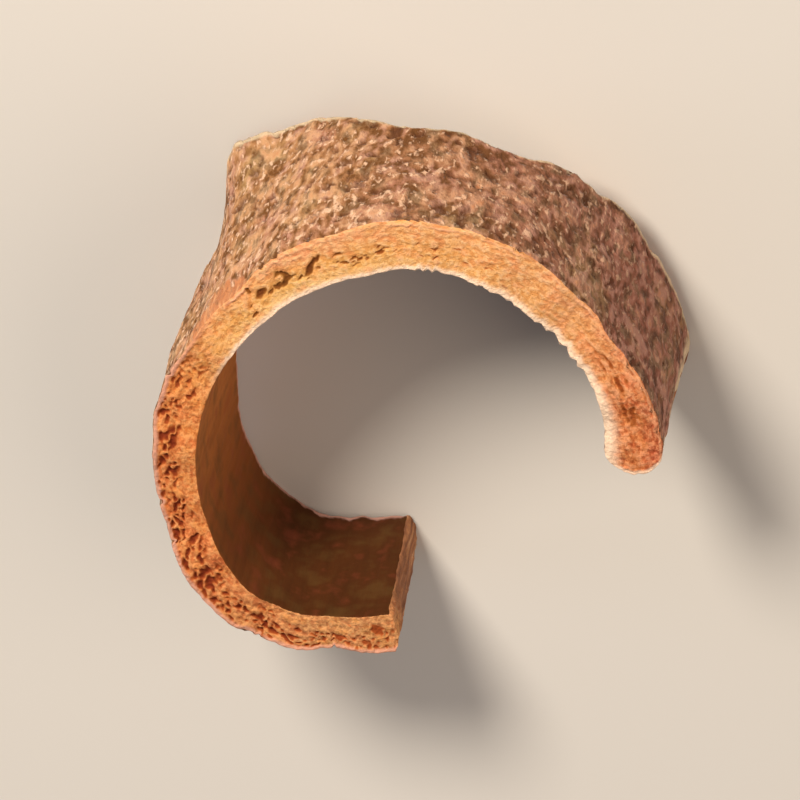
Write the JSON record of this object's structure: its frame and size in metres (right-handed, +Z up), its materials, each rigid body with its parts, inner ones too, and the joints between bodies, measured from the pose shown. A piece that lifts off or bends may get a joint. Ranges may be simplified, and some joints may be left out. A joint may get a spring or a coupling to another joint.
{
  "type": "cassia bark strip",
  "caption": "Strip of dried cassia bark curled into an open C-shaped ring, standing on its ragged lower cut, used as a cooking spice.",
  "frame": {"origin": "on the floor, under the middle of the strip's box", "axes": "+Z up along the grain of the bark, which leans about 11 degrees; the gap between lip and tail opens towards -X"},
  "size_m": [0.0468, 0.0496, 0.0248],
  "materials": {
    "bark": "rough"
  },
  "bodies": {
    "root": {"bark_curl": "bark"}
  },
  "joints": []
}
